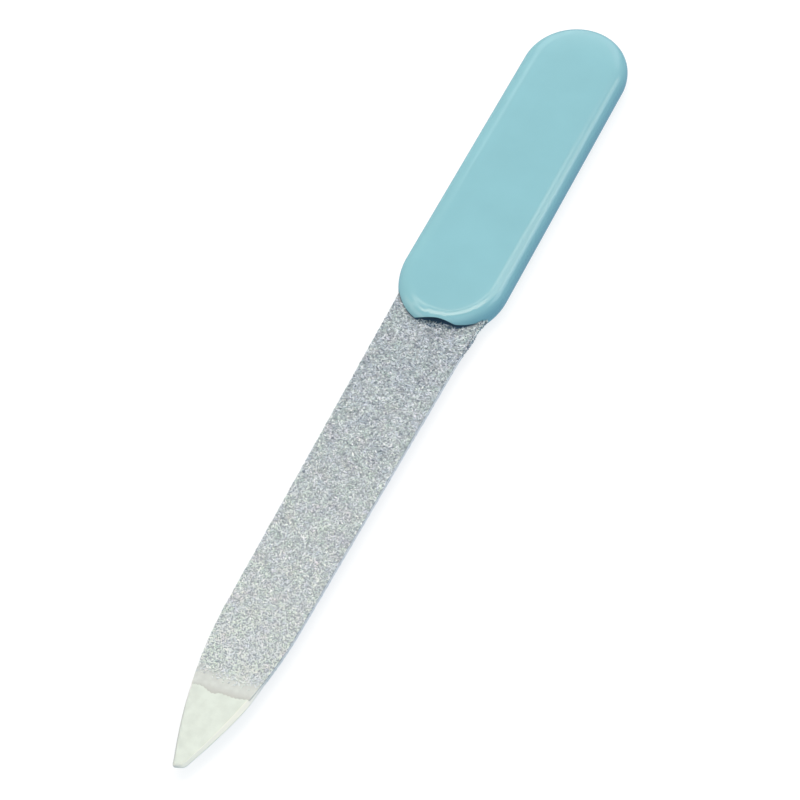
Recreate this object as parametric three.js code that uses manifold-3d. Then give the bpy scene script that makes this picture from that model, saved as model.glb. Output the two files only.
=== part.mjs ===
// A metal nail file: a pointed steel blade, coated with grit on both faces, in a flat plastic handle.
// The handle is two shells that close on the blade's tang and are held by two pegs.
// Millimetres. +X points to the tip, +Z is up, and the origin is under the middle of the file's box.

import * as THREE from "three";
import { mergeVertices } from "three/addons/utils/BufferGeometryUtils.js";
import Module from "manifold-3d";

const wasm = await Module();
wasm.setup();

// Blade
const BLADE_REACH = 77.25; // from the handle's front to the tip
const BLADE_THICKNESS = 0.6;
const ROOT_WIDTH = 12.6; // at the handle's front
const POINT_WIDTH = 10.65; // where the point starts
const POINT_LENGTH = 24.2;
const POINT_STEPS = 14;
const TIP_WIDTH = 1.15; // blunt end
const TIP_ROUND = 0.4;
const SHOULDER_DEPTH = 6.2; // how far the full width goes in behind the handle's front
const SHOULDER_STEP = 1.8; // from the blade's side to the tang's side
const TANG_CORNER = 2;

// Coats, the same on both faces
const BOND_THICKNESS = 0.06;
const GRIT_THICKNESS = 0.12;
const COAT_MARGIN = 0.1; // bare strip along the blade's sides
const COAT_SETBACK = 1; // from the shoulder to the coats' hidden end
const BARE_TIP = 11.6; // from the tip to the bond coat's end
const BOND_BAND = 2.6; // from the bond coat's end to the grit's end

// Handle
const HANDLE_LENGTH = 62.75;
const HANDLE_LAP = 1.6; // how much wider the handle is than the blade's root, on each side
const FRONT_ROUND = 9.3; // length of the round end at the blade
const TAIL_ROUND = 8.85; // length of the round end at the tail
const END_STEPS = 28;
const LIP_HEIGHT = 1.56; // plastic between the blade's slot and the handle's flat face
const EDGE_ROUND = 1.35; // how far the rounded edge leans in
const EDGE_STEPS = 6;
const BEVEL_WIDTH = 0.7; // narrow slope between the rounded edge and the flat face
const BEVEL_DROP = 0.15;
const TAIL_WALL = 9; // from the handle's tail to the tang's pocket

// Arch-shaped notch in the upper shell's front rim
const NOTCH_WIDTH = 6.6;
const NOTCH_ROOF = 0.39; // plastic left over the top of the arch
const NOTCH_OFFSET = 0.9; // towards +Y from the middle line
const NOTCH_DEPTH = 3;
const NOTCH_SIDES = 96;

// Pegs through the tang
const PEG_DIAMETER = 3;
const PEG_SETBACK = 6; // from each end of the tang to the peg beside it
const PEG_SIDES = 24;
const SOCKET_FLOOR = 0.6;

// Clearances
const FIT_GAP = 0.3; // beside the blade and tang, and round and under the pegs
const SLOT_GAP = 0.06; // between the grit and the handle's rim

// Worked out from the values above
const FRONT_X = (HANDLE_LENGTH - BLADE_REACH) / 2;
const TAIL_X = FRONT_X - HANDLE_LENGTH;
const TIP_X = FRONT_X + BLADE_REACH;
const POINT_X = TIP_X - POINT_LENGTH;
const SHOULDER_X = FRONT_X - SHOULDER_DEPTH;
const TANG_X = TAIL_X + TAIL_WALL + FIT_GAP;
const PEG_XS = [TANG_X + PEG_SETBACK, SHOULDER_X - PEG_SETBACK];

const BLADE_HALF = BLADE_THICKNESS / 2;
const SLOT_HALF = BLADE_HALF + BOND_THICKNESS + GRIT_THICKNESS + SLOT_GAP;
const SHELL_HEIGHT = SLOT_HALF + LIP_HEIGHT;
const SPLIT_Z = SHELL_HEIGHT;
const HANDLE_HALF_WIDTH = ROOT_WIDTH / 2 + HANDLE_LAP;
const TAPER = (ROOT_WIDTH - POINT_WIDTH) / 2 / (POINT_X - FRONT_X);
const TANG_HALF_WIDTH = ROOT_WIDTH / 2 - SHOULDER_STEP;

// Half the blade's width at x: a straight taper, and past POINT_X a parabola that leaves it smoothly.
function bladeHalfWidth(x) {
  const past = x - POINT_X;
  const tapered = POINT_WIDTH / 2 - TAPER * past;
  if (past <= 0) {
    return tapered;
  }
  const fall = (POINT_WIDTH - TIP_WIDTH) / 2 - TAPER * POINT_LENGTH;
  return tapered - fall * (past / POINT_LENGTH) ** 2;
}

// Places along the blade's side from one x to another, close together only on the point.
function sideStations(fromX, toX) {
  const stations = [fromX];
  for (let step = 0; step < POINT_STEPS; step += 1) {
    const x = POINT_X + (step / POINT_STEPS) * (toX - POINT_X);
    stations.push(x);
  }
  stations.push(toX);
  return stations;
}

// Joining and cutting closed meshes

function solidFrom(geometry) {
  const bare = geometry.clone();
  bare.deleteAttribute("normal");
  bare.deleteAttribute("uv");
  const merged = mergeVertices(bare, 1e-5);
  const mesh = new wasm.Mesh({
    numProp: 3,
    vertProperties: new Float32Array(merged.attributes.position.array),
    triVerts: new Uint32Array(merged.index.array),
  });
  mesh.merge();
  return new wasm.Manifold(mesh);
}

function geometryFrom(solid) {
  const mesh = solid.getMesh();
  const geometry = new THREE.BufferGeometry();
  geometry.setAttribute("position", new THREE.BufferAttribute(mesh.vertProperties, 3));
  geometry.setIndex(new THREE.BufferAttribute(mesh.triVerts, 1));
  return geometry;
}

// A flat plate with the given outline, between two heights
function plate(shape, lowZ, highZ) {
  const geometry = new THREE.ExtrudeGeometry(shape, { depth: highZ - lowZ, bevelEnabled: false });
  const position = geometry.attributes.position;
  const middle = (highZ - lowZ) / 2;
  for (let i = 0; i < position.count; i += 1) {
    position.setZ(i, position.getZ(i) > middle ? highZ : lowZ);
  }
  return geometry;
}

function box(lowX, highX, halfWidth, lowZ, highZ) {
  const geometry = new THREE.BoxGeometry(highX - lowX, 2 * halfWidth, highZ - lowZ);
  geometry.translate((lowX + highX) / 2, 0, (lowZ + highZ) / 2);
  return solidFrom(geometry);
}

function post(x, radius, lowZ, highZ) {
  const geometry = new THREE.CylinderGeometry(radius, radius, highZ - lowZ, PEG_SIDES);
  geometry.rotateX(Math.PI / 2);
  geometry.translate(x, 0, (lowZ + highZ) / 2);
  return solidFrom(geometry);
}

// Blade, with its tang and the holes for the pegs

function bladeShape() {
  const shape = new THREE.Shape();
  const side = sideStations(SHOULDER_X, TIP_X - TIP_ROUND);
  const tipHalf = TIP_WIDTH / 2;
  shape.moveTo(TANG_X + TANG_CORNER, -TANG_HALF_WIDTH);
  shape.lineTo(SHOULDER_X, -TANG_HALF_WIDTH);
  for (const x of side) {
    shape.lineTo(x, -bladeHalfWidth(x));
  }
  shape.quadraticCurveTo(TIP_X, -tipHalf, TIP_X, TIP_ROUND - tipHalf);
  shape.lineTo(TIP_X, tipHalf - TIP_ROUND);
  shape.quadraticCurveTo(TIP_X, tipHalf, side.at(-1), bladeHalfWidth(side.at(-1)));
  for (const x of side.slice(0, -1).reverse()) {
    shape.lineTo(x, bladeHalfWidth(x));
  }
  shape.lineTo(SHOULDER_X, TANG_HALF_WIDTH);
  shape.lineTo(TANG_X + TANG_CORNER, TANG_HALF_WIDTH);
  shape.quadraticCurveTo(TANG_X, TANG_HALF_WIDTH, TANG_X, TANG_HALF_WIDTH - TANG_CORNER);
  shape.lineTo(TANG_X, TANG_CORNER - TANG_HALF_WIDTH);
  shape.quadraticCurveTo(TANG_X, -TANG_HALF_WIDTH, TANG_X + TANG_CORNER, -TANG_HALF_WIDTH);
  for (const x of PEG_XS) {
    const hole = new THREE.Path();
    hole.absarc(x, 0, PEG_DIAMETER / 2 + FIT_GAP, 0, 2 * Math.PI, true);
    shape.holes.push(hole);
  }
  return shape;
}

function bladeGeometry() {
  const flat = plate(bladeShape(), SPLIT_Z - BLADE_HALF, SPLIT_Z + BLADE_HALF);
  return geometryFrom(solidFrom(flat));
}

// Bond and grit coats: plates that follow the blade's sides and end square across it

function coatShape(endX) {
  const shape = new THREE.Shape();
  const side = sideStations(SHOULDER_X + COAT_SETBACK, endX);
  const half = (x) => bladeHalfWidth(x) - COAT_MARGIN;
  shape.moveTo(side[0], -half(side[0]));
  for (const x of side.slice(1)) {
    shape.lineTo(x, -half(x));
  }
  for (const x of side.reverse()) {
    shape.lineTo(x, half(x));
  }
  return shape;
}

// face is 1 for the upper face and -1 for the lower one
function coatGeometry(face, endX, innerHeight, outerHeight) {
  const heights = [SPLIT_Z + face * innerHeight, SPLIT_Z + face * outerHeight];
  return geometryFrom(solidFrom(plate(coatShape(endX), Math.min(...heights), Math.max(...heights))));
}

// Handle shells

// Outline of the handle, drawn in by inset: two half ellipses joined by straight sides
function handleRing(inset) {
  const ring = [];
  const ends = [
    { centre: FRONT_X - FRONT_ROUND, reach: FRONT_ROUND, from: -Math.PI / 2 },
    { centre: TAIL_X + TAIL_ROUND, reach: TAIL_ROUND, from: Math.PI / 2 },
  ];
  for (const end of ends) {
    for (let step = 0; step <= END_STEPS; step += 1) {
      const angle = end.from + (step / END_STEPS) * Math.PI;
      const x = end.centre + (end.reach - inset) * Math.cos(angle);
      const y = (HANDLE_HALF_WIDTH - inset) * Math.sin(angle);
      ring.push(new THREE.Vector2(x, y));
    }
  }
  return ring;
}

// Edge of a shell, as (inset, height) from the split: a rounded wall, then the bevel up to the flat face
function edgeProfile() {
  const slope = BEVEL_DROP / BEVEL_WIDTH;
  const bevelFoot = SHELL_HEIGHT - BEVEL_DROP;
  const profile = new THREE.QuadraticBezierCurve(
    new THREE.Vector2(0, 0),
    new THREE.Vector2(0, bevelFoot - EDGE_ROUND * slope),
    new THREE.Vector2(EDGE_ROUND, bevelFoot),
  ).getPoints(EDGE_STEPS);
  profile.push(new THREE.Vector2(EDGE_ROUND + BEVEL_WIDTH, SHELL_HEIGHT));
  return profile;
}

// A closed skin through the rings from the split to the flat face
function shellBlank(face) {
  const positions = [];
  const triangles = [];
  const addTriangle = (a, b, c) => triangles.push(...(face > 0 ? [a, b, c] : [a, c, b]));
  const profile = edgeProfile();
  for (const point of profile) {
    for (const corner of handleRing(point.x)) {
      positions.push(corner.x, corner.y, SPLIT_Z + face * point.y);
    }
  }
  const count = handleRing(0).length;
  for (let level = 0; level + 1 < profile.length; level += 1) {
    for (let i = 0; i < count; i += 1) {
      const a = level * count + i;
      const b = level * count + ((i + 1) % count);
      addTriangle(a, b, b + count);
      addTriangle(a, b + count, a + count);
    }
  }
  const top = (profile.length - 1) * count;
  for (let i = 1; i + 1 < count; i += 1) {
    addTriangle(0, i + 1, i);
    addTriangle(top, top + i, top + i + 1);
  }
  const geometry = new THREE.BufferGeometry();
  geometry.setAttribute("position", new THREE.Float32BufferAttribute(positions, 3));
  geometry.setIndex(triangles);
  return solidFrom(geometry);
}

// The hollow that both shells share: a slot for the coated blade and a pocket that clamps the tang
function bladeHollow() {
  const slotHalfWidth = bladeHalfWidth(SHOULDER_X) + FIT_GAP;
  const slot = box(SHOULDER_X - FIT_GAP, FRONT_X + FIT_GAP, slotHalfWidth, SPLIT_Z - SLOT_HALF, SPLIT_Z + SLOT_HALF);
  const pocketHalfWidth = TANG_HALF_WIDTH + FIT_GAP;
  const lowZ = SPLIT_Z - BLADE_HALF;
  const highZ = SPLIT_Z + BLADE_HALF;
  return slot.add(box(TANG_X - FIT_GAP, SHOULDER_X, pocketHalfWidth, lowZ, highZ));
}

// A round-topped tunnel over the blade, open to the front
function notch() {
  const rise = LIP_HEIGHT - NOTCH_ROOF;
  const radius = (NOTCH_WIDTH ** 2 / 4 + rise ** 2) / (2 * rise);
  const length = NOTCH_DEPTH + FIT_GAP;
  const geometry = new THREE.CylinderGeometry(radius, radius, length, NOTCH_SIDES);
  geometry.rotateZ(Math.PI / 2);
  geometry.translate(FRONT_X + FIT_GAP - length / 2, NOTCH_OFFSET, SPLIT_Z + SLOT_HALF + rise - radius);
  return solidFrom(geometry);
}

function upperShellGeometry() {
  let shell = shellBlank(1).subtract(bladeHollow()).subtract(notch());
  const pegFoot = SOCKET_FLOOR + FIT_GAP;
  const pegRoot = SPLIT_Z + SHELL_HEIGHT - SOCKET_FLOOR;
  for (const x of PEG_XS) {
    shell = shell.add(post(x, PEG_DIAMETER / 2, pegFoot, pegRoot));
  }
  return geometryFrom(shell);
}

function lowerShellGeometry() {
  let shell = shellBlank(-1).subtract(bladeHollow());
  for (const x of PEG_XS) {
    shell = shell.subtract(post(x, PEG_DIAMETER / 2 + FIT_GAP, SOCKET_FLOOR, SPLIT_Z));
  }
  return geometryFrom(shell);
}

// Materials and assembly

function material(color, roughness, metalness) {
  return new THREE.MeshStandardMaterial({ color, roughness, metalness });
}

const file = new THREE.Group();
file.name = "nail_file";

function addPiece(name, geometry, finish) {
  const mesh = new THREE.Mesh(geometry, finish);
  mesh.name = name;
  file.add(mesh);
}

const bondOuter = BLADE_HALF + BOND_THICKNESS;
const gritOuter = bondOuter + GRIT_THICKNESS;
const bondEndX = TIP_X - BARE_TIP;
const gritEndX = bondEndX - BOND_BAND;

addPiece("upper_handle_shell", upperShellGeometry(), material(0x97cad4, 0.25, 0));
addPiece("lower_handle_shell", lowerShellGeometry(), material(0x97cad4, 0.25, 0));
addPiece("steel_blade", bladeGeometry(), material(0xe6ece2, 0.3, 0.9));
for (const [side, face] of [["upper", 1], ["lower", -1]]) {
  addPiece(`${side}_bond_coat`, coatGeometry(face, bondEndX, BLADE_HALF, bondOuter), material(0xdbded7, 0.6, 0.2));
  addPiece(`${side}_grit_coat`, coatGeometry(face, gritEndX, bondOuter, gritOuter), material(0xb9bfc2, 0.5, 0.3));
}

export default file;
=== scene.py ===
# Looks of the metal nail file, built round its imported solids.
# Blender works in metres. The sizes here are in millimetres, and MM turns them into metres.

import math

import bmesh
import bpy
import numpy as np
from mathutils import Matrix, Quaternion, Vector


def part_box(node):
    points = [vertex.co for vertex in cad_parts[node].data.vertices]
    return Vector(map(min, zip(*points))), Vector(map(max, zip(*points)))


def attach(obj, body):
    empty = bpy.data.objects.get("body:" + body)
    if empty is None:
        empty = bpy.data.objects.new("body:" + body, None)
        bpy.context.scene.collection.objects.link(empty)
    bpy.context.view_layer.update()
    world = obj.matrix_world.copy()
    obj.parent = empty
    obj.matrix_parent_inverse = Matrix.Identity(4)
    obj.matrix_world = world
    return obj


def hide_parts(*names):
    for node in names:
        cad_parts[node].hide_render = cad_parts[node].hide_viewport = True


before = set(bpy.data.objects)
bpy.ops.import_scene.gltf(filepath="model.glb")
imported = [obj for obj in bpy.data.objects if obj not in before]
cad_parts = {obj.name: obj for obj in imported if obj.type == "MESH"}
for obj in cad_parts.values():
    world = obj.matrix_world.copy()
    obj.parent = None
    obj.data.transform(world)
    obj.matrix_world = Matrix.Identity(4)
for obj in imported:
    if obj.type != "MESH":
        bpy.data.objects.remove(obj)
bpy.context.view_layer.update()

MM = 0.001
TOLERANCE = 1e-6  # a smaller difference is only rounding
UP = 1  # upper pieces are built upwards from the split, lower ones downwards
DOWN = -1


def box_mm(node):
    """Lowest and highest corner of one of the frame's nodes."""
    low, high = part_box(node)
    return low / MM, high / MM


# Places that the frame gives
SHELL_LOW, SHELL_HIGH = box_mm("lower_handle_shell")
BLADE_LOW, BLADE_HIGH = box_mm("steel_blade")
BOND_LOW, BOND_HIGH = box_mm("upper_bond_coat")
GRIT_LOW, GRIT_HIGH = box_mm("upper_grit_coat")
TAIL_X = SHELL_LOW.x
FRONT_X = SHELL_HIGH.x
HALF_WIDTH = SHELL_HIGH.y
SPLIT_Z = SHELL_HIGH.z
SHELL_HEIGHT = SPLIT_Z - SHELL_LOW.z
TIP_X = BLADE_HIGH.x
TANG_X = BLADE_LOW.x
BLADE_HALF = BLADE_HIGH.z - SPLIT_Z
BOND_OUTER = BOND_HIGH.z - SPLIT_Z
GRIT_OUTER = GRIT_HIGH.z - SPLIT_Z

# Handle
FRONT_ROUND = 9.3  # length of the rounded front end
LEFT_ROUND = 10  # the same on its left side, which is a little more rounded
TAIL_ROUND = 8.85
EDGE_ROUND = 1.38  # how far the rounded wall leans in
FRONT_SHIFT = 0.14  # how much less it leans in at the front end
BEVEL_WIDTH = 1.0
BEVEL_DROP = 0.12
CROWN_WIDTH = 5  # past the wall, where the slightly crowned upper face becomes flat
CROWN_DROP = 0.05
SINK_SHIFT = 0.14  # how far the edge is drawn in over the thin roof of the notch, as moulded plastic sinks
SINK_MIDDLE = 0.45
SINK_HALF_WIDTH = 1.2
SINK_POWER = 12  # how abruptly it ends on both sides
LIP_ROUND = 0.07  # on the rim over the blade
SEAM = 0.035  # fine chamfer where the two shells meet
FIT_GAP = 0.3  # round the pegs and at their ends
SIDE_GAP = 0.03  # beside the blade in the handle's mouth
SLOT_GAP = 0.06  # over the grit
SLOT_HEIGHT = GRIT_OUTER + SLOT_GAP
NOTCH_WIDTH = 6.6
NOTCH_ROOF = 0.39  # thickness of the plastic over the notch
NOTCH_OFFSET = 0.9
NOTCH_DEPTH = 3
LIFT_HEIGHT = 0.58  # right of the notch the lip stands a little open, from this height down to nothing
LIFT_START = 3.3
LIFT_END = 5.8
PEG_RADIUS = 1.5
PEG_SETBACK = 6
SOCKET_FLOOR = 0.6

# Blade
ROOT_WIDTH = 12.6
POINT_WIDTH = 10.65
POINT_LENGTH = 24.2
TIP_WIDTH = 1.5
TIP_ROUND = 0.45
TIP_REACH = 0.5  # how far the end's left corner goes past the frame's tip
TIP_ASIDE = 0.08  # how far the end lies to the right
TIP_SLANT = 0.55  # how much shorter the end is on its right side
TIP_BLEND = 1.5  # length over which the slant begins
SHOULDER_DEPTH = 6.2
SHOULDER_STEP = 1.8
TANG_CORNER = 2
EDGE_WIDTH = 0.28  # rolled edge of the steel
EDGE_HEIGHT = 0.28
GROUND_LENGTH = 15.5  # from the tip, where the right edge is ground thin
GROUND_BLEND = 5  # length over which that begins
GROUND_WIDTH = 0.4
GROUND_EDGE = 0.06  # half the thickness that is left at the edge
GROUND_OUT = 0.39  # how far the thin edge stands out where it begins

# Bond coats
COAT_MARGIN = 0.1
BOND_EDGE = 0.035
BOND_KEY = 0.08  # how far the coat reaches down over the blade's rolled edge
BOND_FEATHER = 0.35  # length over which the coat thins out at its end
BOND_LEVELS = ((0, 0, 0.2), (0.3, 0.5, 0.75), (1, 1, 1), (2, 2, 1))  # shares of feather, edge and depth
BOND_BENDS = ((-4.5, 0.3), (-2.6, 0.0), (-0.8, 0.48), (0.2, 0.06), (1.6, 0.05), (4.5, -0.55))  # y and reach
BOND_FRAY = ((0.06, 0.53, 0.4), (0.04, 0.23, 2.1))  # height, length and phase of the end's small waves

# Grit
GRAIN_SPACING = 0.28
GRAIN_JITTER = 0.28  # of the spacing
GRAIN_RADIUS = (0.1, 0.15)
GRAIN_STRETCH = (1.5, 2.9)
GRAIN_TOP = (0.07, 0.15)  # above the bond coat
GRAIN_CORNERS = 9
GRAIN_CORNER_GAP = 0.62  # least distance of two corners, on a ball of radius 1
GRAIN_FORMS = 24
GRAIN_TRIM = 0.08  # in from the blade's sides, where the grains are cut flush
MOUTH_CLEAR = 0.15  # between the handle's lip and the first grains
NOTCH_GRIT = 1.3  # how far the grains go in under the notch
LIFT_GRIT = 0.6  # how far they go in under the lifted lip, for each millimetre of its height
GRIT_BULGE = 0.2  # how much further the grit reaches in the middle than at the sides
GRIT_SLANT = 0.06  # how the grit's end leans across the blade
GRIT_FADE = 1.3  # length over which the grains thin out
FADE_STEEPNESS = 4  # how steeply they do
TONE_SPREAD = (0.42, 0.04)  # how much the grains' tones differ, at the handle and at the end
UPPER_SEED = 11
LOWER_SEED = 12

# Bead of grit along the blade's right side, which widens in the corner at the handle
BEAD_LENGTH = 8
BEAD_BACK = 4.75  # where it ends, behind the handle's front
BEAD_FOOT = 0.1  # width where it starts
BEAD_WIDTH = 0.45  # how much wider it becomes
BEAD_CURVE = 5  # how late it widens
BEAD_RISE = 0.35  # share of its length over which it comes out of the blade's side
BEAD_TUCK = 0.25  # how deep in the side it starts
BEAD_HEIGHTS = (-0.22, 0.27)
BEAD_SAG = 0.3  # how much lower it goes at its wide end
BEAD_SPACING = 0.16
BEAD_JITTER = 0.2  # of the spacing
BEAD_LAP = 0.4  # how far it laps over the blade, along the handle's lip
LAP_LENGTH = 0.32  # in front of the lip
LAP_HEIGHTS = (0.34, 0.56)

# Where the materials' colours change
BOND_RIM = 0.8  # width of the darker rim at the bond coat's end
BOND_SLANT = 0.1  # how the changes along the bond coat lean across the blade
SIDE_FADE = 3.5  # past the coats, length over which the painted light leaves the blade's sides
MOUTH_BLEND = (0.985, 1.005)  # shares of the rounded front end, between which the painted shade in the handle's mouth fades
LEVEL_NORMAL = (0.86, 0.99)  # upright part of the normal, on a slanted edge and on a level face

# Fineness of the meshes
WALL_ROWS = 18
LOW_ROWS = 4
BEVEL_ROWS = 10
CROWN_ROWS = 6
EDGE_ROWS = 5
ARC_STEP = 0.25
NOTCH_STEP = 0.12
STRAIGHT_STEP = 1.5
EASE_COLUMNS = 3  # beside the slot's corners, over which the lip's rounding and the seam begin
LIP_TRIES = 6  # steps towards the lip's height in the notch
PEG_SIDES = 48
PLATE_STEP = 2  # along the blade and the bond coats
POINT_STEP = 0.4  # the same on the point
FRAY_STEP = 0.1  # across the bond coat's end
CORNER_STEPS = 8
SHELL_SHARP = 50  # degrees from which an edge is shaded sharp
PLATE_SHARP = 30

# Floor
FLOOR_HALF = 3000

# Camera, fitted to the photograph's outline
VIEW_AIM = (5.93, 1.52, 2.1)
VIEW_TURN = 23.98  # from +X towards +Y
VIEW_HEIGHT = 51.47
VIEW_DISTANCE = 402.7
VIEW_LENS = 133.26
VIEW_CLIP = 10  # nothing nearer is drawn
SENSOR = 36

# Light: a plain sky, strips on a ceiling behind the file, and soft panels round it
SKY_ABOVE = (0.272, 0.38, 0.48)
SKY_BELOW = (0.36, 0.52, 0.64)
HORIZON = 0.1  # half the height of the blend between them
CEILING_HEIGHT = 1000
WARM = (1.2, 1.0, 0.8)
WHITE = (1, 1, 1)
# Each strip's turn from +X towards +Y, far and near edges behind the file, left and right edges, brightness
STRIPS = {
    "near_strip": (44.5, (430, 170), (-500, 500), 4.7),
    "right_strip": (44.5, (465, 170), (500, 1400), 2.05),
    "far_strip": (34, (725, 605), (-400, 620), 3.0),
    "left_strip": (34, (560, 400), (-1400, -280), 2.2),
}
# Each panel's turn and height as seen from the file, distance, size, brightness and colour
PANELS = {
    "back_panel": (194, 24.5, 1300, (900, 800), 1.2, WHITE),
    "front_panel": (40, 58, 1200, (1200, 1200), 0.6, WHITE),
    "left_panel": (310, 20, 1200, (1800, 800), 1.4, WARM),
    "right_panel": (132, 37, 1300, (560, 560), 2.0, WHITE),
}

# Worked out from the values above
POINT_X = TIP_X - POINT_LENGTH
SHOULDER_X = FRONT_X - SHOULDER_DEPTH
TAPER = (ROOT_WIDTH - POINT_WIDTH) / 2 / (POINT_X - FRONT_X)
TANG_HALF_WIDTH = ROOT_WIDTH / 2 - SHOULDER_STEP
FLAT_INSET = 1.5 * EDGE_WIDTH  # in from the blade's outline, where its faces are flat
PEG_XS = (TANG_X + PEG_SETBACK, SHOULDER_X - PEG_SETBACK)
FRONT_CENTRE = FRONT_X - FRONT_ROUND
LEFT_CENTRE = FRONT_X - LEFT_ROUND
TAIL_CENTRE = TAIL_X + TAIL_ROUND
WALL_FOOT = SHELL_HEIGHT - BEVEL_DROP - CROWN_DROP
WALL_LIFT = WALL_FOOT - EDGE_ROUND * (2 * BEVEL_DROP / BEVEL_WIDTH + 2 * CROWN_DROP / CROWN_WIDTH)
WALL_BEND = 2 * WALL_LIFT - WALL_FOOT
NOTCH_RISE = SHELL_HEIGHT - SLOT_HEIGHT - NOTCH_ROOF
NOTCH_RADIUS = (NOTCH_WIDTH ** 2 / 4 + NOTCH_RISE ** 2) / (2 * NOTCH_RISE)
NOTCH_BACK = FRONT_X - NOTCH_DEPTH
BOND_DEPTH = BOND_OUTER - BLADE_HALF


def blade_half_width(x):
    """Half the blade's width: a straight taper, and on the point a parabola that leaves it smoothly."""
    past = x - POINT_X
    tapered = POINT_WIDTH / 2 - TAPER * past
    if past <= 0:
        return tapered
    fall = (POINT_WIDTH - TIP_WIDTH) / 2 - TAPER * POINT_LENGTH
    return tapered - fall * (past / POINT_LENGTH) ** 2


SLOT_HALF_WIDTH = blade_half_width(SHOULDER_X) + SIDE_GAP


def spaced(start, end, step):
    """Even places from start to end, about one step apart."""
    count = max(1, round(abs(end - start) / step))
    return list(np.linspace(start, end, count + 1))


def circle(x, radius):
    """Outline of a peg or its hole."""
    turns = [2 * math.pi * k / PEG_SIDES for k in range(PEG_SIDES)]
    return [(x + radius * math.cos(turn), radius * math.sin(turn)) for turn in turns]


# Meshes and objects


class Skin:
    """Points and faces of a mesh in the making. Its points are given in millimetres."""

    def __init__(self):
        self.points = []
        self.faces = []

    def add(self, x, y, z):
        self.points.append((x * MM, y * MM, z * MM))
        return len(self.points) - 1

    def face(self, corners):
        """A face, without the corners that come twice."""
        kept = []
        for corner in corners:
            if corner not in kept:
                kept.append(corner)
        if len(kept) > 2:
            self.faces.append(kept)

    def strip(self, one, other):
        """Quads between two rows of points."""
        for i in range(len(one) - 1):
            self.face((one[i], one[i + 1], other[i + 1], other[i]))


def add_object(name, data):
    added = bpy.data.objects.new(name, data)
    bpy.context.scene.collection.objects.link(added)
    return added


def add_piece(name, mesh, finish):
    """A piece of the part. Nothing on the part moves, so every piece rides the root."""
    mesh.materials.append(finish)
    piece = add_object(name, mesh)
    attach(piece, "root")
    return piece


def piece_from(name, skin, finish, sharp, fills):
    """A piece made of a closed skin. fills are groups of closed loops, each group to be filled flat."""
    mesh = bpy.data.meshes.new(name)
    mesh.from_pydata(skin.points, [], skin.faces)
    work = bmesh.new()
    work.from_mesh(mesh)
    work.verts.ensure_lookup_table()
    for loops in fills:
        edges = []
        for loop in loops:
            for a, b in zip(loop, loop[1:] + loop[:1]):
                ends = (work.verts[a], work.verts[b])
                edges.append(work.edges.get(ends) or work.edges.new(ends))
        bmesh.ops.triangle_fill(work, use_beauty=True, use_dissolve=False, edges=edges)
    bmesh.ops.recalc_face_normals(work, faces=work.faces)
    for each in work.faces:
        each.smooth = True
    work.to_mesh(mesh)
    work.free()
    mesh.set_sharp_from_angle(angle=math.radians(sharp))
    return add_piece(name, mesh, finish)


def mark_points(mesh, name, values):
    """Keeps a value for each point of a mesh, for its material to read."""
    layer = mesh.attributes.new(name, "FLOAT", "POINT")
    layer.data.foreach_set("value", values)


# Nodes of the materials

MIX_INPUTS = (0, 6, 7)  # a mix node's sockets for the share and the two colours
MIX_OUTPUT = 2


def new_material(name):
    material = bpy.data.materials.new(name)
    material.use_nodes = True
    tree = material.node_tree
    return material, tree, tree.nodes["Principled BSDF"]


def add_node(tree, kind, **settings):
    node = tree.nodes.new(kind)
    for key, value in settings.items():
        setattr(node, key, value)
    return node


def noise(tree, size, detail=2, stretch=(1, 1, 1)):
    """Noise with features of about the given size in millimetres, in the object's own coordinates."""
    place = add_node(tree, "ShaderNodeTexCoord")
    mapping = add_node(tree, "ShaderNodeMapping")
    mapping.inputs["Scale"].default_value = stretch
    texture = add_node(tree, "ShaderNodeTexNoise")
    texture.inputs["Scale"].default_value = 1 / (size * MM)
    texture.inputs["Detail"].default_value = detail
    tree.links.new(place.outputs["Object"], mapping.inputs["Vector"])
    tree.links.new(mapping.outputs["Vector"], texture.inputs["Vector"])
    return texture.outputs["Fac"]


def ramp(tree, source, stops):
    """Colours along a value. stops are (place, colour)."""
    node = add_node(tree, "ShaderNodeValToRGB")
    elements = node.color_ramp.elements
    while len(elements) < len(stops):
        elements.new(1)
    for element, (place, colour) in zip(elements, stops):
        element.position = place
        element.color = (*colour, 1)
    tree.links.new(source, node.inputs["Fac"])
    return node.outputs["Color"]


def spread(tree, source, low, high, start=0, end=1):
    """A value moved from the range start to end into the range low to high."""
    node = add_node(tree, "ShaderNodeMapRange")
    node.inputs["From Min"].default_value = start
    node.inputs["From Max"].default_value = end
    node.inputs["To Min"].default_value = low
    node.inputs["To Max"].default_value = high
    tree.links.new(source, node.inputs["Value"])
    return node.outputs["Result"]


def blend_colours(tree, share, one, other, mode="MIX"):
    """One colour blended with another. The share and the colours are sockets or plain values."""
    node = add_node(tree, "ShaderNodeMix", data_type="RGBA", blend_type=mode)
    for number, value in zip(MIX_INPUTS, (share, one, other)):
        if isinstance(value, bpy.types.NodeSocket):
            tree.links.new(value, node.inputs[number])
        else:
            node.inputs[number].default_value = value
    return node.outputs[MIX_OUTPUT]


def bump(tree, shader, source, height, strength):
    node = add_node(tree, "ShaderNodeBump")
    node.inputs["Strength"].default_value = strength
    node.inputs["Distance"].default_value = height * MM
    tree.links.new(source, node.inputs["Height"])
    tree.links.new(node.outputs["Normal"], shader.inputs["Normal"])


def attribute(tree, name):
    """A value that mark_points keeps."""
    node = add_node(tree, "ShaderNodeAttribute", attribute_name=name)
    return node.outputs["Fac"]


def shades(colour, amount):
    """A colour a little darker and a little lighter."""
    return [tuple(c * (1 + sign * amount) for c in colour) for sign in (-1, 1)]


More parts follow.
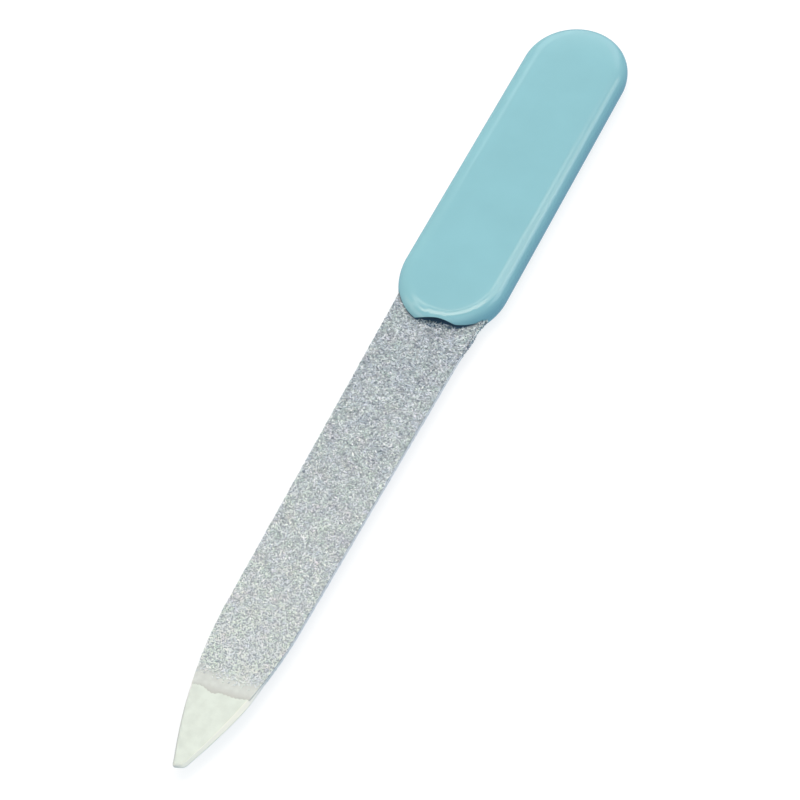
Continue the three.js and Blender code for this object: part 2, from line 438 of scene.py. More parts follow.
def place_along(tree, way):
    """How far a point lies along a direction, in millimetres."""
    place = add_node(tree, "ShaderNodeTexCoord")
    product = add_node(tree, "ShaderNodeVectorMath", operation="DOT_PRODUCT")
    product.inputs[1].default_value = Vector(way) / MM
    tree.links.new(place.outputs["Object"], product.inputs[0])
    return product.outputs["Value"]


def in_mouth(tree):
    """1 inside the round of the handle's front end, as it is on its left side, and 0 outside it: where the
    bond coat gets its painted shade.
    """
    place = add_node(tree, "ShaderNodeTexCoord")
    mapping = add_node(tree, "ShaderNodeMapping")
    mapping.inputs["Scale"].default_value = (1 / (LEFT_ROUND * MM), 1 / (HALF_WIDTH * MM), 0)
    mapping.inputs["Location"].default_value = (-LEFT_CENTRE / LEFT_ROUND, 0, 0)
    length = add_node(tree, "ShaderNodeVectorMath", operation="LENGTH")
    tree.links.new(place.outputs["Object"], mapping.inputs["Vector"])
    tree.links.new(mapping.outputs["Vector"], length.inputs[0])
    start, end = MOUTH_BLEND
    return spread(tree, length.outputs["Value"], low=1, high=0, start=start, end=end)


def upright(tree):
    """1 on sides and slanted edges, 0 on level faces."""
    place = add_node(tree, "ShaderNodeTexCoord")
    split = add_node(tree, "ShaderNodeSeparateXYZ")
    size = add_node(tree, "ShaderNodeMath", operation="ABSOLUTE")
    tree.links.new(place.outputs["Normal"], split.inputs["Vector"])
    tree.links.new(split.outputs["Z"], size.inputs[0])
    start, end = LEVEL_NORMAL
    return spread(tree, size.outputs["Value"], low=1, high=0, start=start, end=end)


# Materials


def handle_finish():
    material, tree, shader = new_material("aqua_gloss_plastic")
    aqua = (0.256, 0.508, 0.558)
    dark, light = shades(aqua, amount=0.03)
    clouds = ramp(tree, noise(tree, size=9, detail=3), [(0.3, dark), (0.7, light)])
    roughness = spread(tree, noise(tree, size=1.6), low=0.1, high=0.15)
    tree.links.new(clouds, shader.inputs["Base Color"])
    tree.links.new(roughness, shader.inputs["Roughness"])
    bump(tree, shader, noise(tree, size=1.1), height=0.003, strength=0.5)
    return material


def steel_finish():
    material, tree, shader = new_material("pale_satin_steel")
    steel = (0.592, 0.648, 0.595)
    # painted light: a lighter steel colour for the blade's right edge near the tip, standing in for light
    # that side doesn't get
    painted_light_colour = (0.825, 0.826, 0.73, 1)
    bare_side = (0.59, 0.603, 0.565, 1)
    painted_light_side = (0.98, 0.915, 0.9, 1)
    dark, light = shades(steel, amount=0.05)
    level = ramp(tree, noise(tree, size=1.4, detail=4), [(0.35, dark), (0.65, light)])
    along = place_along(tree, (1, 0, 0))
    bare = spread(tree, along, low=0, high=1, start=BOND_HIGH.x, end=BOND_HIGH.x + SIDE_FADE)
    # painted light: along the coats the blade's sides and slanted edges are painted much lighter than its
    # level faces, standing in for light they don't get
    side = blend_colours(tree, bare, painted_light_side, bare_side)
    colour = blend_colours(tree, upright(tree), level, side)
    colour = blend_colours(tree, attribute(tree, "painted_edge_light"), colour, painted_light_colour)
    streaks = noise(tree, size=0.5, detail=3, stretch=(1, 0.12, 1))
    tree.links.new(colour, shader.inputs["Base Color"])
    tree.links.new(spread(tree, streaks, low=0.44, high=0.56), shader.inputs["Roughness"])
    bump(tree, shader, streaks, height=0.003, strength=0.4)
    shader.inputs["Metallic"].default_value = 0.25
    return material


def bond_finish():
    material, tree, shader = new_material("pale_grey_resin")
    resin = (0.597, 0.617, 0.577)
    rim_grey = (0.525, 0.53, 0.49, 1)
    grit_grey = (0.36, 0.39, 0.41, 1)
    # painted shade: the bond coat is darkened inside the handle's mouth, where the lip and the notch shade it
    mouth_painted_shade = (0.06, 0.12, 0.19, 1)
    dark, light = shades(resin, amount=0.05)
    clouds = ramp(tree, noise(tree, size=0.8, detail=6), [(0.35, dark), (0.65, light)])
    along = place_along(tree, (1, BOND_SLANT, 0))
    at_rim = spread(tree, along, low=0, high=1, start=BOND_HIGH.x - BOND_RIM, end=BOND_HIGH.x)
    grit_fades = GRIT_HIGH.x - GRIT_FADE
    grit_ends = GRIT_HIGH.x + GRIT_FADE / 2
    under_grit = spread(tree, along, low=1, high=0, start=grit_fades, end=grit_ends)
    colour = blend_colours(tree, at_rim, clouds, rim_grey)
    colour = blend_colours(tree, under_grit, colour, grit_grey)
    colour = blend_colours(tree, in_mouth(tree), colour, mouth_painted_shade)
    roughness = spread(tree, noise(tree, size=0.4), low=0.5, high=0.7)
    tree.links.new(colour, shader.inputs["Base Color"])
    tree.links.new(roughness, shader.inputs["Roughness"])
    bump(tree, shader, noise(tree, size=0.25, detail=3), height=0.012, strength=0.6)
    return material


def grit_finish():
    material, tree, shader = new_material("crushed_silver_grit")
    tone_stops = [(0, (0.331, 0.366, 0.39)), (0.5, (0.719, 0.77, 0.768)), (1, (1.0, 1.0, 1.0))]
    tint_stops = [(0, (0.955, 0.955, 1.0)), (0.5, (1, 1, 1)), (1, (0.965, 1.0, 0.945))]
    # painted shade: the grit is darker and bluer at the handle and grows lighter towards its end
    handle_shade_stops = [(0, (0.71, 0.745, 0.78)), (1, (1.0, 0.975, 0.945))]
    blotch_stops = [(0.36, (0.95, 0.955, 1.0)), (0.5, (1, 1, 1)), (0.64, (0.965, 1.0, 0.965))]
    blush_stops = [(0.5, (1, 1, 1)), (0.68, (1.0, 0.95, 0.96))]
    tint = attribute(tree, "tint")
    along = spread(tree, place_along(tree, (1, 0, 0)), low=0, high=1, start=FRONT_X, end=GRIT_HIGH.x)
    layers = (
        (tint, tint_stops),
        (along, handle_shade_stops),
        (noise(tree, size=1.6), blotch_stops),
        (noise(tree, size=2.3), blush_stops),
    )
    colour = ramp(tree, attribute(tree, "tone"), tone_stops)
    for source, stops in layers:
        colour = blend_colours(tree, 1, colour, ramp(tree, source, stops), "MULTIPLY")
    tree.links.new(colour, shader.inputs["Base Color"])
    tree.links.new(spread(tree, tint, low=0.4, high=0.6), shader.inputs["Roughness"])
    bump(tree, shader, noise(tree, size=0.08), height=0.006, strength=0.5)
    shader.inputs["Metallic"].default_value = 0.35
    return material


def floor_finish():
    material, _, shader = new_material("white_floor")
    shader.inputs["Base Color"].default_value = (0.3, 0.3, 0.3, 1)
    shader.inputs["Emission Color"].default_value = (1, 1, 1, 1)
    shader.inputs["Emission Strength"].default_value = 0.75
    shader.inputs["Roughness"].default_value = 0.9
    shader.inputs["Specular IOR Level"].default_value = 0.2
    return material


# Handle shells


def wall_at(height):
    """How far along the rounded wall, from 0 to 1, a height above the split is."""
    return (WALL_LIFT - math.sqrt(WALL_LIFT ** 2 - WALL_BEND * height)) / WALL_BEND


def wall_inset(height):
    """How far the rounded wall leans in at a height above the split."""
    return EDGE_ROUND * wall_at(height) ** 2


def crown_height(past):
    """Height of the upper face at a distance past the wall: a bevel that eases into a slight crown."""
    bevel = max(0, 1 - past / BEVEL_WIDTH)
    crown = 1 - past / CROWN_WIDTH
    return SHELL_HEIGHT - BEVEL_DROP * bevel ** 2 - CROWN_DROP * crown ** 2


def wall_profile(base):
    """Insets and heights from a base height over the rounded wall and the crown to the flat face."""
    profile = []
    for t in np.linspace(wall_at(base), 1, WALL_ROWS + 1):
        profile.append((EDGE_ROUND * t * t, 2 * WALL_LIFT * t - WALL_BEND * t * t))
    bevel = np.linspace(0, BEVEL_WIDTH, BEVEL_ROWS + 1)[1:]
    crown = np.linspace(BEVEL_WIDTH, CROWN_WIDTH, CROWN_ROWS + 1)[1:]
    for past in (*bevel, *crown):
        profile.append((EDGE_ROUND + past, crown_height(past)))
    return profile


def edge_shift(column, inset, over_notch):
    """How far a point of the front edge is drawn in. It dies out down the wall and over the crown."""
    if column.cos <= 0:
        return 0
    shift = -FRONT_SHIFT * column.cos ** 2
    if over_notch:
        aside = (column.at(inset)[1] - SINK_MIDDLE) / SINK_HALF_WIDTH
        shift += SINK_SHIFT / (1 + aside ** SINK_POWER)
    past = max(0, inset - EDGE_ROUND)
    return shift * min(1, inset / EDGE_ROUND) * (1 - past / CROWN_WIDTH)


def arch_height(y):
    """Height of the notch's arch over the slot's roof."""
    across = y - NOTCH_OFFSET
    if abs(across) >= NOTCH_WIDTH / 2:
        return 0
    return math.sqrt(NOTCH_RADIUS ** 2 - across ** 2) - (NOTCH_RADIUS - NOTCH_RISE)


def lip_rise(y):
    """Height of the lip over the slot's roof: the notch's arch, and the slight lift beside it."""
    if not LIFT_START < y < LIFT_END:
        return arch_height(y)
    lift = LIFT_HEIGHT * (LIFT_END - y) / (LIFT_END - LIFT_START)
    return max(arch_height(y), lift)


class Column:
    """One place on the handle's outline, where the outline can be drawn in by an inset."""

    def __init__(self, centre, reach, angle, in_slot=False, in_notch=False):
        self.centre = centre
        self.reach = reach
        self.cos = math.cos(angle)
        self.sin = math.sin(angle)
        self.in_slot = in_slot
        self.in_notch = in_notch
        # Points of the shell's skin at this place
        self.wall = []  # up the wall from the slot's height and over the crown
        self.low = []  # up the wall to the slot's height
        self.lip_row = []  # round the lip over the blade
        self.back = None  # at the back of the notch
        self.roof = None  # where the hollow's roof begins
        self.rim = None  # where the two shells meet
        self.inner = None  # foot of the wall's inner side
        self.inner_top = None

    def at(self, inset):
        """The place itself, drawn in by an inset."""
        x = self.centre + (self.reach - inset) * self.cos
        return x, (HALF_WIDTH - inset) * self.sin

    def lip(self):
        """Height of the rim over the blade."""
        height = SLOT_HEIGHT
        if self.in_notch:
            for _ in range(LIP_TRIES):
                height = SLOT_HEIGHT + lip_rise(self.at(wall_inset(height))[1])
        return height


def front_end(y):
    """Centre and reach of the handle's front end, left or right of the middle."""
    if y < 0:
        return LEFT_CENTRE, LEFT_ROUND
    return FRONT_CENTRE, FRONT_ROUND


def handle_columns(with_notch):
    """Columns round the outline: front end, +Y side, tail end, -Y side."""
    columns = []
    lip_width = HALF_WIDTH - wall_inset(SLOT_HEIGHT)
    corner = math.asin(SLOT_HALF_WIDTH / lip_width)
    notch_start = NOTCH_OFFSET - NOTCH_WIDTH / 2
    outer = spaced(-math.pi / 2, -corner, ARC_STEP / HALF_WIDTH)
    for angle in outer[:-1]:
        columns.append(Column(LEFT_CENTRE, LEFT_ROUND, angle))
    slot = spaced(-SLOT_HALF_WIDTH, notch_start, ARC_STEP)[:-1]
    slot += spaced(notch_start, LIFT_END, NOTCH_STEP)[:-1]
    slot += spaced(LIFT_END, SLOT_HALF_WIDTH, ARC_STEP)
    for y in slot:
        inside = with_notch and notch_start - TOLERANCE < y < LIFT_END + TOLERANCE
        centre, reach = front_end(y)
        columns.append(Column(centre, reach, math.asin(y / lip_width), in_slot=True, in_notch=inside))
    for angle in reversed(outer[:-1]):
        columns.append(Column(FRONT_CENTRE, FRONT_ROUND, -angle))
    run = spaced(FRONT_CENTRE, TAIL_CENTRE, STRAIGHT_STEP)[1:-1]
    for x in run:
        columns.append(Column(x, 0, math.pi / 2))
    for angle in spaced(math.pi / 2, 3 * math.pi / 2, ARC_STEP / HALF_WIDTH):
        columns.append(Column(TAIL_CENTRE, TAIL_ROUND, angle))
    for x in reversed(run):
        columns.append(Column(x, 0, -math.pi / 2))
    return columns


def inner_place(column):
    """Inner side of the shell's wall: straight beside the blade, and round at the tail."""
    if column.cos < -TOLERANCE:
        return column.at(HALF_WIDTH - SLOT_HALF_WIDTH)
    return column.at(0)[0], math.copysign(SLOT_HALF_WIDTH, column.sin)


class Shell(Skin):
    """Skin of one half of the handle. Its heights count from the split, upwards or downwards."""

    def __init__(self, up, with_notch):
        super().__init__()
        self.up = up
        self.with_notch = with_notch
        self.columns = handle_columns(with_notch)
        in_slot = [i for i, column in enumerate(self.columns) if column.in_slot]
        self.slot_corners = (in_slot[0], in_slot[-1])

    def put(self, x, y, height):
        return self.add(x, y, SPLIT_Z + self.up * height)

    def put_wall(self, column, base):
        """A column's points up the wall and over the crown."""
        for inset, height in wall_profile(base):
            place = column.at(inset + edge_shift(column, inset, self.with_notch))
            column.wall.append(self.put(*place, height))

    def put_lip(self, column, rounding):
        """A column over the blade: its wall, the rounded lip under it, and the notch behind the lip."""
        base = column.lip()
        self.put_wall(column, base + rounding)
        x, y = column.at(wall_inset(base))
        share = 1 - math.sqrt(0.5)  # halfway round a quarter of a circle
        middle = self.put(x - share * rounding, y, base + share * rounding)
        under = self.put(x - rounding, y, base)
        column.lip_row = [column.wall[0], middle, under]
        column.roof = under
        if column.in_notch:
            column.back = self.put(NOTCH_BACK, y, base)
            column.roof = column.back
            if base > SLOT_HEIGHT + TOLERANCE:
                column.roof = self.put(NOTCH_BACK, y, SLOT_HEIGHT)

    def put_low_wall(self, column, chamfer):
        """A column's wall, and below it the points up to the slot's height."""
        self.put_wall(column, SLOT_HEIGHT)
        for height in np.linspace(chamfer, SLOT_HEIGHT, LOW_ROWS + 1)[:-1]:
            column.low.append(self.put(*column.at(wall_inset(height)), height))

    def put_corner(self, column):
        """A column at a corner of the slot, where lip and roof, rim and inner side come together."""
        self.put_low_wall(column, chamfer=0)
        slot_top = column.wall[0]
        column.lip_row = [slot_top, slot_top, slot_top]
        column.roof = slot_top
        column.inner_top = slot_top
        column.rim = column.low[0]
        column.inner = column.low[0]

    def put_side(self, column, chamfer):
        """A column beside or behind the slot, with its rim and the inner side of its wall."""
        self.put_low_wall(column, chamfer)
        column.rim = self.put(*column.at(chamfer), 0)
        column.inner = self.put(*inner_place(column), 0)
        column.inner_top = self.put(*inner_place(column), SLOT_HEIGHT)

    def put_columns(self):
        for i, column in enumerate(self.columns):
            beside = min(abs(i - corner) for corner in self.slot_corners)
            ease = min(1, beside / EASE_COLUMNS)
            if beside == 0:
                self.put_corner(column)
            elif column.in_slot:
                self.put_lip(column, LIP_ROUND * ease)
            else:
                self.put_side(column, SEAM * ease)

    def join(self, one, other):
        """Faces between two columns that stand side by side."""
        self.strip(one.wall, other.wall)
        if one.in_slot and other.in_slot:
            self.strip(one.lip_row, other.lip_row)
            if one.in_notch and other.in_notch:
                self.face((one.lip_row[-1], other.lip_row[-1], other.back, one.back))
                self.face((one.back, other.back, other.roof, one.roof))
            return
        self.strip(one.low + one.wall[:1], other.low + other.wall[:1])
        self.face((one.low[0], other.low[0], other.rim, one.rim))
        self.face((one.rim, other.rim, other.inner, one.inner))
        if one.in_slot:
            self.face((*one.low, one.wall[0], other.inner_top, other.inner))
        elif other.in_slot:
            self.face((*other.low, other.wall[0], one.inner_top, one.inner))
        else:
            self.face((one.inner, other.inner, other.inner_top, one.inner_top))

    def roof_loop(self):
        """Outline of the hollow's roof, which goes in round the notch."""
        loop = []
        for i, column in enumerate(self.columns):
            if not column.in_slot:
                loop.append(column.inner_top)
                continue
            if column.in_notch and not self.columns[i - 1].in_notch:
                loop.append(column.lip_row[-1])
            loop.append(column.roof)
            if column.in_notch and not self.columns[i + 1].in_notch:
                loop.append(column.lip_row[-1])
        return loop

    def add_peg(self, peg_x, radius, end_height):
        """A peg or a socket on the hollow's roof. Gives the loop at its root."""
        outline = circle(peg_x, radius)
        root = [self.put(x, y, SLOT_HEIGHT) for x, y in outline]
        end = [self.put(x, y, end_height) for x, y in outline]
        self.strip(root + root[:1], end + end[:1])
        self.face(end)
        return root


def shell_piece(name, up, with_notch, peg_radius, peg_end, finish):
    """One half of the handle: outer skin, rim, lip over the blade, hollow, and its pegs or sockets."""
    shell = Shell(up, with_notch)
    columns = shell.columns
    shell.put_columns()
    for one, other in zip(columns, columns[1:] + columns[:1]):
        shell.join(one, other)
    shell.face([column.wall[-1] for column in columns])
    roof = [shell.roof_loop()]
    for peg_x in PEG_XS:
        roof.append(shell.add_peg(peg_x, peg_radius, peg_end))
    return piece_from(name, shell, finish, SHELL_SHARP, fills=[roof])


# Blade and bond coats


def drawn_in(outline, inset):
    """A closed outline, moved inwards by small insets, one for each point. The outline runs anticlockwise."""
    places = np.array(outline)
    along = np.roll(places, -1, axis=0) - np.roll(places, 1, axis=0)
    along /= np.linalg.norm(along, axis=1)[:, None]
    return places + inset[:, None] * np.stack((-along[:, 1], along[:, 0]), axis=1)


def plate_piece(name, levels, finish, holes=()):
    """A flat plate from a stack of outlines with their heights. The lowest and the highest are filled."""
    skin = Skin()
    rows = []
    for outline, heights in levels:
        heights = np.broadcast_to(heights, len(outline))
        rows.append([skin.add(x, y, z) for (x, y), z in zip(outline, heights)])
    bottom = [rows[0]]
    top = [rows[-1]]
    for one, other in zip(rows, rows[1:]):
        skin.strip(one + one[:1], other + other[:1])
    for hole in holes:
        low_row = [skin.add(x, y, np.min(levels[0][1])) for x, y in hole]
        high_row = [skin.add(x, y, np.max(levels[-1][1])) for x, y in hole]
        skin.strip(low_row + low_row[:1], high_row + high_row[:1])
        bottom.append(low_row)
        top.append(high_row)
    return piece_from(name, skin, finish, PLATE_SHARP, fills=[bottom, top])


def plate_stations(start, end):
    """Places along the blade, closer together on the point. The end itself is left out."""
    return spaced(start, POINT_X, PLATE_STEP)[:-1] + spaced(POINT_X, end, POINT_STEP)[:-1]


def quarter_turn(start, corner, end):
    """Points from start to end on a quadratic curve that turns at corner."""
    start, corner, end = np.array((start, corner, end))
    points = []
    for t in np.linspace(0, 1, CORNER_STEPS + 1):
        points.append(tuple((1 - t) ** 2 * start + 2 * t * (1 - t) * corner + t * t * end))
    return points


def mirrored(half):
    """A closed outline from its half at -Y, which runs from the back to the front."""
    return half + [(x, -y) for x, y in reversed(half)]


def blade_outline():
    """Outline of the blade and its tang. The end of the tip is slanted."""
    last_x = TIP_X - TIP_ROUND
    tang_back = (TANG_X, TANG_CORNER - TANG_HALF_WIDTH)
    tang_corner = (TANG_X, -TANG_HALF_WIDTH)
    tang_side = (TANG_X + TANG_CORNER, -TANG_HALF_WIDTH)
    tip_side = (last_x, -blade_half_width(last_x))
    tip_corner = (TIP_X, -TIP_WIDTH / 2)
    tip_front = (TIP_X, TIP_ROUND - TIP_WIDTH / 2)
    half = quarter_turn(tang_back, tang_corner, tang_side)
    half.append((SHOULDER_X, -TANG_HALF_WIDTH))
    half += [(x, -blade_half_width(x)) for x in plate_stations(SHOULDER_X, last_x)]
    half += quarter_turn(tip_side, tip_corner, tip_front)
    outline = []
    for x, y in mirrored(half):
        near_end = max(0, 1 - (TIP_X - x) / TIP_BLEND)
        shift = TIP_REACH - TIP_SLANT * (0.5 + y / TIP_WIDTH)
        outline.append((x + shift * near_end ** 2, y + TIP_ASIDE * near_end))
    return outline


def blade_piece(finish):
    """The blade and its tang, with rolled edges. The right edge is ground thin at the tip, and painted
    lighter there: painted light on a side that faces away from the lamps.
    """
    outline = blade_outline()
    x, y = np.array(outline).T
    right = np.clip(0.5 + y / TIP_WIDTH, 0, 1)
    ground = right * np.clip((x - (TIP_X - GROUND_LENGTH)) / GROUND_BLEND, 0, 1)
    stands_out = GROUND_OUT * (TIP_X - x) / GROUND_LENGTH
    ground_middle = TIP_X - GROUND_LENGTH / 2
    # painted light: how much of the lighter steel colour each point of the right edge gets near the tip
    painted_edge_light = right * np.clip((x - POINT_X) / (ground_middle - POINT_X), 0, 1)
    upper = []
    marks = []
    for share in np.linspace(0, 1, EDGE_ROWS + 1):
        turn = share * math.pi / 2
        rolled_inset = EDGE_WIDTH * (1 - math.cos(turn))
        rolled_height = BLADE_HALF - EDGE_HEIGHT * (1 - math.sin(turn))
        ground_height = GROUND_EDGE + (BLADE_HALF - GROUND_EDGE) * share
        ground_inset = GROUND_WIDTH * share - stands_out * (1 - share)
        inset = rolled_inset + (ground_inset - rolled_inset) * ground
        upper.append((drawn_in(outline, inset), rolled_height + (ground_height - rolled_height) * ground))
        marks.append(painted_edge_light * (ground + (1 - ground) * (1 - share)))
    upper.append((drawn_in(outline, np.full(len(outline), FLAT_INSET)), BLADE_HALF))
    marks.append(np.zeros(len(outline)))
    levels = [(places, SPLIT_Z - height) for places, height in reversed(upper)]
    levels += [(places, SPLIT_Z + height) for places, height in upper]
    holes = [circle(peg_x, PEG_RADIUS + FIT_GAP) for peg_x in PEG_XS]
    piece = plate_piece("blade", levels, finish, holes)
    marked = np.concatenate(marks[::-1] + marks)
    values = np.zeros(len(piece.data.vertices))
    values[:len(marked)] = marked
    mark_points(piece.data, "painted_edge_light", values)
    return piece


def bond_end(y):
    """Where the bond coat ends: a line that bends a little across the blade, and frays."""
    bends = list(zip(BOND_BENDS, BOND_BENDS[1:]))
    (y0, reach0), (y1, reach1) = next((pair for pair in bends if y < pair[1][0]), bends[-1])
    ease = (1 - math.cos(math.pi * (y - y0) / (y1 - y0))) / 2
    fray = sum(high * math.sin(2 * math.pi * y / long + phase) for high, long, phase in BOND_FRAY)
    return BOND_HIGH.x + reach0 + (reach1 - reach0) * ease + fray


def coat_half_width(x):
    return blade_half_width(x) - COAT_MARGIN


def bond_piece(name, up, finish):
    """A bond coat: a thin plate over the blade's rolled edge, which thins out at its frayed end."""
    across = coat_half_width(BOND_HIGH.x)
    end = [(bond_end(y), y) for y in spaced(-across, across, FRAY_STEP)]
    left_x = end[0][0]
    right_x = end[-1][0]
    end[0] = (left_x, -coat_half_width(left_x))
    end[-1] = (right_x, coat_half_width(right_x))
    left = [(x, -coat_half_width(x)) for x in plate_stations(BOND_LOW.x, left_x)]
    right = [(x, coat_half_width(x)) for x in reversed(plate_stations(BOND_LOW.x, right_x))]

    def outline(end_inset, side_inset):
        narrow = 1 - side_inset / across
        drawn_left = [(x, y + side_inset) for x, y in left]
        drawn_end = [(x - end_inset, y * narrow) for x, y in end]
        drawn_right = [(x, y - side_inset) for x, y in right]
        return drawn_left + drawn_end + drawn_right

    levels = [(outline(0, 0), BLADE_HALF - BOND_KEY)]
    for feather, edge, depth in BOND_LEVELS:
        height = BLADE_HALF + depth * BOND_DEPTH
        levels.append((outline(feather * BOND_FEATHER, edge * BOND_EDGE), height))
    return plate_piece(name, [(places, SPLIT_Z + up * height) for places, height in levels], finish)


# Grit


def grain_forms(draw):
    """Angular chips: hulls of a few scattered points on a ball."""
    forms = []
    while len(forms) < GRAIN_FORMS:
        corners = draw.normal(size=(GRAIN_CORNERS, 3))
        corners /= np.linalg.norm(corners, axis=1)[:, None]
        gaps = np.linalg.norm(corners[:, None] - corners[None], axis=2)
        np.fill_diagonal(gaps, np.inf)
        if gaps.min() < GRAIN_CORNER_GAP:
            continue
        work = bmesh.new()
        for corner in corners:
            work.verts.new(corner)
        bmesh.ops.convex_hull(work, input=work.verts)
        bmesh.ops.triangulate(work, faces=work.faces)
        bmesh.ops.recalc_face_normals(work, faces=work.faces)
        work.verts.index_update()
        points = np.array([vert.co for vert in work.verts])
        faces = np.array([[vert.index for vert in each.verts] for each in work.faces])
        work.free()
        forms.append((points, faces))
    return forms


def random_turns(draw, count):
    """Random rotation matrices, from random quaternions."""
    w, x, y, z = draw.normal(size=(count, 4)).T
    size = np.sqrt(w * w + x * x + y * y + z * z)
    w, x, y, z = w / size, x / size, y / size, z / size
    rows = [
        [1 - 2 * (y * y + z * z), 2 * (x * y - z * w), 2 * (x * z + y * w)],
        [2 * (x * y + z * w), 1 - 2 * (x * x + z * z), 2 * (y * z - x * w)],
        [2 * (x * z - y * w), 2 * (y * z + x * w), 1 - 2 * (x * x + y * y)],
    ]
    return np.array(rows).transpose(2, 0, 1)


def mouth_x(y):
    """The handle's front edge over the blade."""
    inset = wall_inset(SLOT_HEIGHT)
    centre, reach = front_end(y)
    return centre + (reach - inset) * math.sqrt(1 - (y / (HALF_WIDTH - inset)) ** 2)


def grit_start(y):
    """Where the grains begin: just in front of the lip, but further in under the notch."""
    under_notch = NOTCH_GRIT * arch_height(y) / NOTCH_RISE
    under_lip = LIFT_GRIT * lip_rise(y)
    return mouth_x(y) + MOUTH_CLEAR - max(under_notch, under_lip)


def grain_places(draw):
    """Places of the grains on the blade, close together at first and thinning out at the end."""
    row_step = GRAIN_SPACING * math.sqrt(3) / 2
    places = []
    for row, x in enumerate(np.arange(GRIT_LOW.x, BOND_HIGH.x, row_step)):
        half = blade_half_width(x)
        offset = (row % 2) * GRAIN_SPACING / 2
        for y in np.arange(-half + offset, half, GRAIN_SPACING):
            place = np.array((x, y)) + draw.normal(0, GRAIN_JITTER * GRAIN_SPACING, 2)
            reach = GRIT_HIGH.x + GRIT_BULGE * (1 - (place[1] / half) ** 2) - GRIT_SLANT * place[1]
            keep = 1 / (1 + math.exp(FADE_STEEPNESS * (place[0] - reach) / GRIT_FADE))
            room = blade_half_width(place[0]) - abs(place[1])
            if draw.random() < keep and room > 0 and place[0] > grit_start(place[1]):
                places.append(place)
    return np.array(places)


def bead_places(draw):
    """Places and heights of the grains of the bead between the blade's right side and the handle's front."""
    start = FRONT_X - BEAD_BACK + BEAD_LENGTH
    places = []
    for x in np.arange(start - BEAD_LENGTH, start, BEAD_SPACING):
        grown = (start - x) / BEAD_LENGTH
        flare = grown ** BEAD_CURVE
        width = BEAD_FOOT + BEAD_WIDTH * flare
        tuck = BEAD_TUCK * max(0, 1 - grown / BEAD_RISE)
        for past in np.arange(-BEAD_LAP, width, BEAD_SPACING):
            y = blade_half_width(x) + past - tuck
            before_lip = x - mouth_x(y)
            laps = past < 0
            in_handle = before_lip < -BEAD_SPACING / 2
            beyond_lap = laps and before_lip > LAP_LENGTH
            if in_handle or beyond_lap:
                continue
            low, high = LAP_HEIGHTS if laps else (BEAD_HEIGHTS[0] - BEAD_SAG * flare, BEAD_HEIGHTS[1])
            for height in np.arange(low, high, BEAD_SPACING):
                places.append(np.array((x, y, height)) + draw.normal(0, BEAD_JITTER * BEAD_SPACING, 3))
    return np.array(places)


def grit_piece(name, up, seed, finish):
    """A coat of separate grains. The upper one also has the bead at the blade's right side."""
    draw = np.random.default_rng(seed)
    forms = grain_forms(draw)
    flat_places = grain_places(draw)
    bead = bead_places(draw) if up == UP else np.empty((0, 3))
    on_blade = len(flat_places)
    places = np.concatenate((flat_places, bead[:, :2]))
    count = len(places)
    which = draw.integers(0, GRAIN_FORMS, count)
    turns = random_turns(draw, count)
    radius = draw.uniform(*GRAIN_RADIUS, count)
    stretch = draw.uniform(*GRAIN_STRETCH, count)
    yaw = draw.uniform(0, math.pi, count)
    half_height = (draw.uniform(*GRAIN_TOP, count) + BOND_DEPTH) / 2
    along = (places[:, 0] - FRONT_X) / (GRIT_HIGH.x - FRONT_X)
    tone = np.clip(0.5 + draw.normal(size=count) * np.interp(along, (0, 1), TONE_SPREAD), 0, 1)
    tint = draw.random(count)
    points, faces, tones, tints = [], [], [], []
    start = 0
    for i in range(count):
        form_points, form_faces = forms[which[i]]
        turned = form_points @ turns[i].T
        turned *= (radius[i] * stretch[i], radius[i], half_height[i])
        cos, sin = math.cos(yaw[i]), math.sin(yaw[i])
        level = turned[:, :2] @ ((cos, sin), (-sin, cos)) + places[i]
        if i < on_blade:
            lifted = np.clip(turned[:, 2] + half_height[i] + BLADE_HALF, BLADE_HALF, None)
            limit = blade_half_width(places[i][0]) - GRAIN_TRIM
            level[:, 1] = np.clip(level[:, 1], -limit, limit)
        else:
            lifted = turned[:, 2] + bead[i - on_blade, 2]
        points.append(np.column_stack((level, SPLIT_Z + up * lifted)))
        faces.append((form_faces if up == UP else form_faces[:, ::-1]) + start)
        tones.append(np.full(len(level), tone[i]))
        tints.append(np.full(len(level), tint[i]))
        start += len(level)
    mesh = bpy.data.meshes.new(name)
    mesh.from_pydata(np.concatenate(points) * MM, [], np.concatenate(faces))
    mark_points(mesh, "tone", np.concatenate(tones))
    mark_points(mesh, "tint", np.concatenate(tints))
    return add_piece(name, mesh, finish)


# Floor, light and camera


def lay_floor():
    """A plain floor, kept out of reflections and of the light on the file."""
    half = FLOOR_HALF * MM
    corners = [(-half, -half, 0), (half, -half, 0), (half, half, 0), (-half, half, 0)]
    mesh = bpy.data.meshes.new("floor")
    mesh.from_pydata(corners, [], [(0, 1, 2, 3)])
    mesh.materials.append(floor_finish())
    floor = add_object("floor", mesh)
    floor.visible_glossy = False
    floor.visible_diffuse = False
    floor.visible_shadow = False


def direction(turn, height):
    """Unit vector at an angle from +X towards +Y, and at a height above the floor, in degrees."""
    turn, height = math.radians(turn), math.radians(height)
    level = math.cos(height)
    return Vector((math.cos(turn) * level, math.sin(turn) * level, math.sin(height)))


def add_panel(name, place, facing, size, brightness, colour):
    """A soft panel at a place, shining along -facing. brightness is the panel's radiance."""
    light = bpy.data.lights.new(name, "AREA")
    light.shape = "RECTANGLE"
    light.size = size[0] * MM
    light.size_y = size[1] * MM
    light.energy = brightness * math.pi * light.size * light.size_y
    light.color = colour
    holder = add_object(name, light)
    holder.location = place * MM
    holder.rotation_mode = "QUATERNION"
    holder.rotation_quaternion = facing


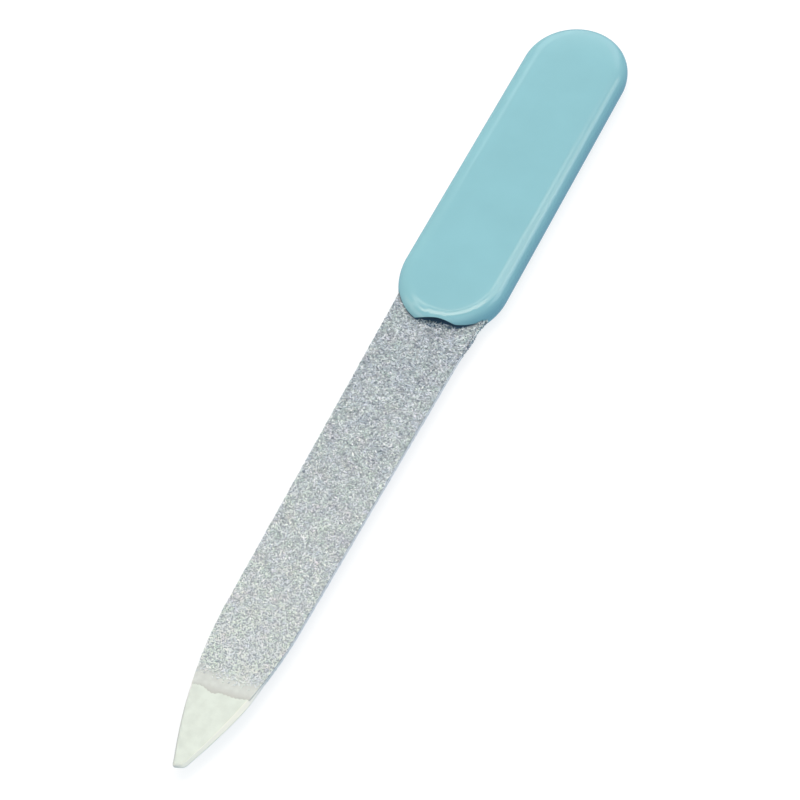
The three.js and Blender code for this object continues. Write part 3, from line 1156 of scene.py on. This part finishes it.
def light_the_sky():
    """An even bluish sky, and a brighter bounce from below in place of the floor's."""
    world = bpy.data.worlds.new("studio")
    world.use_nodes = True
    tree = world.node_tree
    way = add_node(tree, "ShaderNodeTexCoord")
    split = add_node(tree, "ShaderNodeSeparateXYZ")
    tree.links.new(way.outputs["Generated"], split.inputs["Vector"])
    height = spread(tree, split.outputs["Z"], low=0, high=1, start=-HORIZON, end=HORIZON)
    colour = ramp(tree, height, [(0, SKY_BELOW), (1, SKY_ABOVE)])
    tree.links.new(colour, tree.nodes["Background"].inputs["Color"])
    bpy.context.scene.world = world


def light_the_studio():
    bpy.context.scene.view_settings.view_transform = "Standard"
    light_the_sky()
    for name, (turn, (far, near), (left, right), brightness) in STRIPS.items():
        across = direction(turn + 90, 0) * (left + right) / 2
        behind = direction(turn, 0) * (far + near) / 2
        place = across - behind + Vector((0, 0, CEILING_HEIGHT))
        facing = Quaternion((0, 0, 1), math.radians(turn))
        add_panel(name, place, facing, (far - near, right - left), brightness, WARM)
    for name, (turn, height, distance, size, brightness, colour) in PANELS.items():
        way = direction(turn, height)
        add_panel(name, way * distance, way.to_track_quat("Z", "Y"), size, brightness, colour)


def place_camera():
    camera = bpy.data.cameras.new("camera")
    camera.lens = VIEW_LENS
    camera.sensor_width = SENSOR
    camera.clip_start = VIEW_CLIP * MM
    holder = add_object("camera", camera)
    way = direction(VIEW_TURN, VIEW_HEIGHT)
    holder.location = (Vector(VIEW_AIM) + way * VIEW_DISTANCE) * MM
    holder.rotation_mode = "QUATERNION"
    holder.rotation_quaternion = way.to_track_quat("Z", "Y")
    bpy.context.scene.camera = holder


# Assembly


def dress(piece, node):
    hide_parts(node)


def build():
    plastic = handle_finish()
    steel = steel_finish()
    resin = bond_finish()
    grit = grit_finish()
    peg_end = SOCKET_FLOOR + FIT_GAP - SPLIT_Z
    socket_end = SPLIT_Z - SOCKET_FLOOR
    upper = shell_piece("handle_top", UP, True, PEG_RADIUS, peg_end, plastic)
    lower = shell_piece("handle_base", DOWN, False, PEG_RADIUS + FIT_GAP, socket_end, plastic)
    dress(upper, "upper_handle_shell")
    dress(lower, "lower_handle_shell")
    dress(blade_piece(steel), "steel_blade")
    for side, up, seed in (("upper", UP, UPPER_SEED), ("lower", DOWN, LOWER_SEED)):
        dress(bond_piece(f"{side}_bond", up, resin), f"{side}_bond_coat")
        dress(grit_piece(f"{side}_grit", up, seed, grit), f"{side}_grit_coat")


place_camera()
lay_floor()
light_the_studio()
build()
